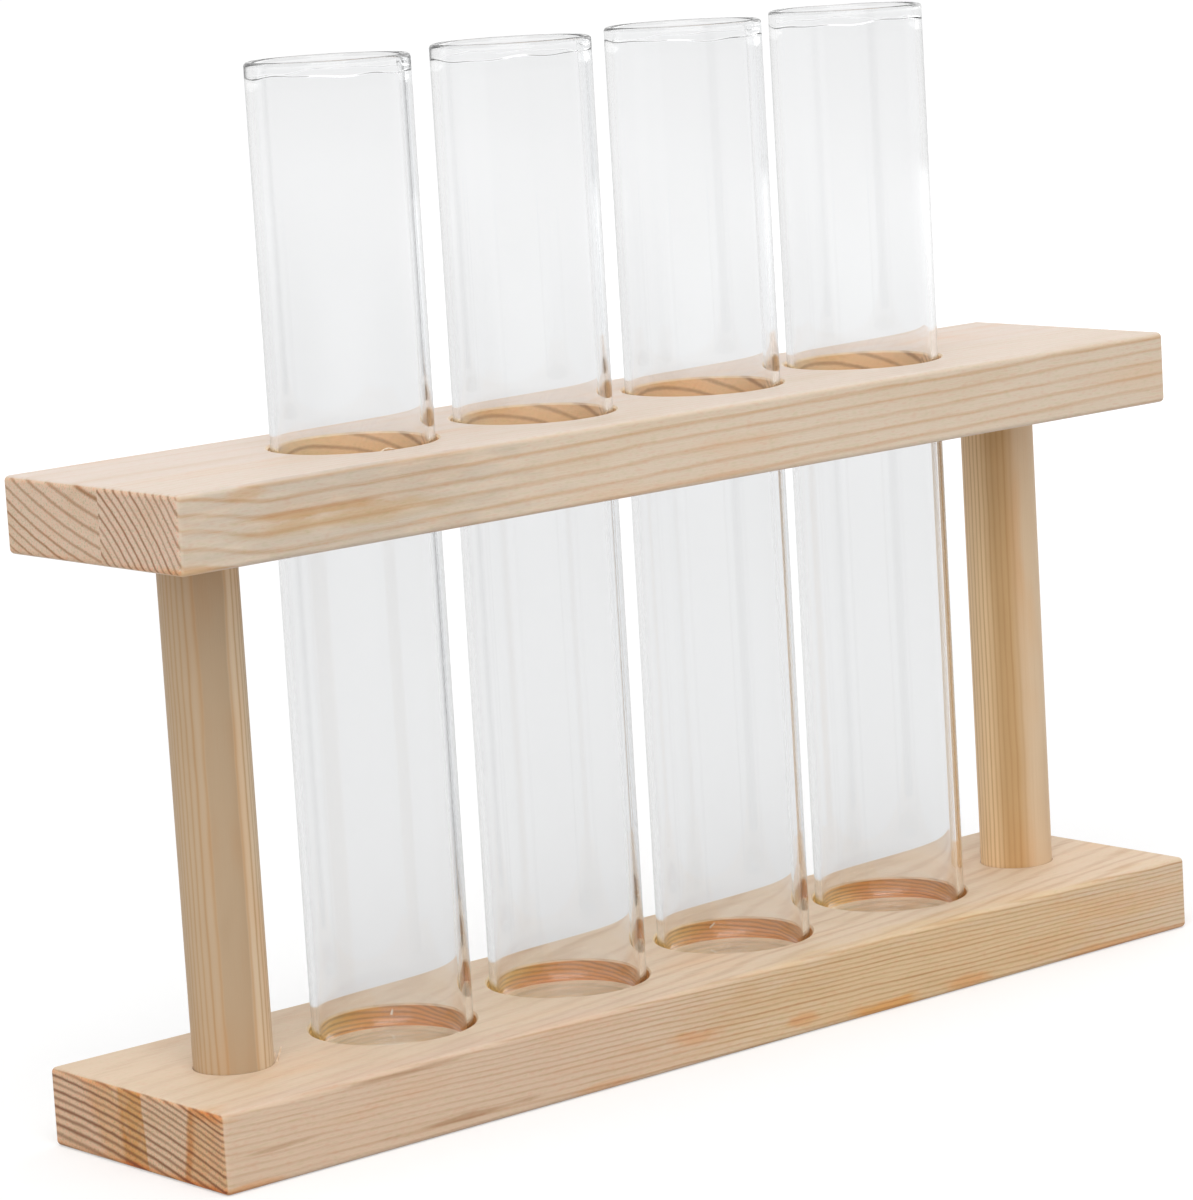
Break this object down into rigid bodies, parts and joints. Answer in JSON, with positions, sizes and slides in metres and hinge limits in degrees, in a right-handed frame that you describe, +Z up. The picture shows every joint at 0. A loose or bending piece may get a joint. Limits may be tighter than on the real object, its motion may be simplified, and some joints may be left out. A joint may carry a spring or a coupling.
{
  "type": "test tube vase",
  "caption": "Wooden rack holding a row of clear flat-bottomed glass tubes upright as bud vases; each tube rests in a shallow recess and lifts straight out.",
  "frame": {"origin": "centre of the base board's underside", "axes": "+X along the boards from the left post to the right post, +Y from the front to the back, +Z up along the tubes"},
  "size_m": [0.2, 0.0434, 0.1578],
  "materials": {
    "board_pine": "sanded bare pine with open growth-ring grain, no varnish",
    "dowel_wood": "sanded bare dowel with straight grain, no varnish",
    "clear_glass": "clear drawn glass with a fire-polished rim"
  },
  "bodies": {
    "rack": {"base_board": "board_pine", "left_post": "dowel_wood", "right_post": "dowel_wood", "top_rail_front_strip": "board_pine", "top_rail_rear_strip": "board_pine"},
    "tube_1": {"glass_tube_1": "clear_glass"},
    "tube_2": {"glass_tube_2": "clear_glass"},
    "tube_3": {"glass_tube_3": "clear_glass"},
    "tube_4": {"glass_tube_4": "clear_glass"}
  },
  "joints": [
    {"name": "tube_1_lift", "type": "slide", "parent": "rack", "child": "tube_1", "axis": [0, 0, 1], "range_m": [0, 0.1]},
    {"name": "tube_2_lift", "type": "slide", "parent": "rack", "child": "tube_2", "axis": [0, 0, 1], "range_m": [0, 0.1]},
    {"name": "tube_3_lift", "type": "slide", "parent": "rack", "child": "tube_3", "axis": [0, 0, 1], "range_m": [0, 0.1]},
    {"name": "tube_4_lift", "type": "slide", "parent": "rack", "child": "tube_4", "axis": [0, 0, 1], "range_m": [0, 0.1]}
  ]
}
